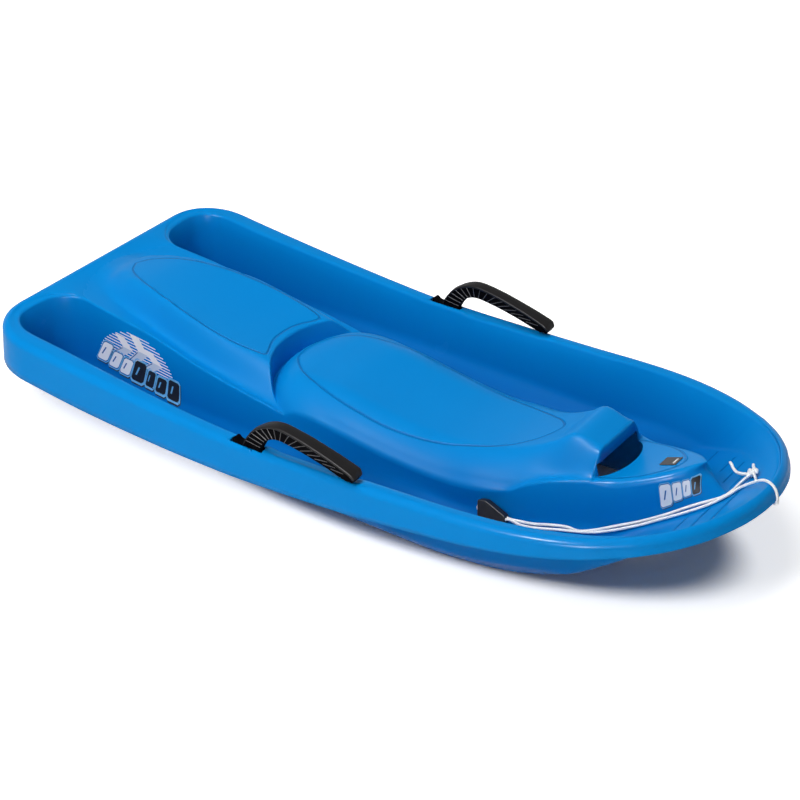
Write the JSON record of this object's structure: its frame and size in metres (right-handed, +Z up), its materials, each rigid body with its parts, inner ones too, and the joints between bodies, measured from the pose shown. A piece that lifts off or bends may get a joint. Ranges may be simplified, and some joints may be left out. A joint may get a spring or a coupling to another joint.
{
  "type": "plastic sled",
  "caption": "Long moulded snow sled with stepped seats, two foot channels, a raised nose, hinged side brake levers and a rope loop with a grip for towing.",
  "frame": {"origin": "on the ground under the middle of the hull's outer box", "axes": "+X to the nose, +Y to the rider's left, +Z up"},
  "size_m": [1.2253, 0.5476, 0.171],
  "materials": {
    "blue_plastic": "satin moulded polyethylene with a low sheen",
    "black_plastic": "satin moulded plastic",
    "steel": "plain zinc-plated pin",
    "white_rope": "braided synthetic cord",
    "grey_plate": "printed adhesive plate"
  },
  "bodies": {
    "body": {"hull": "blue_plastic", "left_pivot_pin": "steel", "right_pivot_pin": "steel", "tow_rope": "white_rope", "tow_rope_knot": "white_rope", "tow_rope_grip": "black_plastic", "nose_label": "grey_plate"},
    "left_lever": {"left_brake_lever": "black_plastic"},
    "right_lever": {"right_brake_lever": "black_plastic"}
  },
  "joints": [
    {"name": "left_lever_pivot", "type": "hinge", "parent": "body", "child": "left_lever", "pos_m": [-0.087, 0.2532, 0.0983], "axis": [0, -1, 0], "range_deg": [0, 55]},
    {"name": "right_lever_pivot", "type": "hinge", "parent": "body", "child": "right_lever", "pos_m": [-0.087, -0.2532, 0.0983], "axis": [0, -1, 0], "range_deg": [0, 55]}
  ]
}
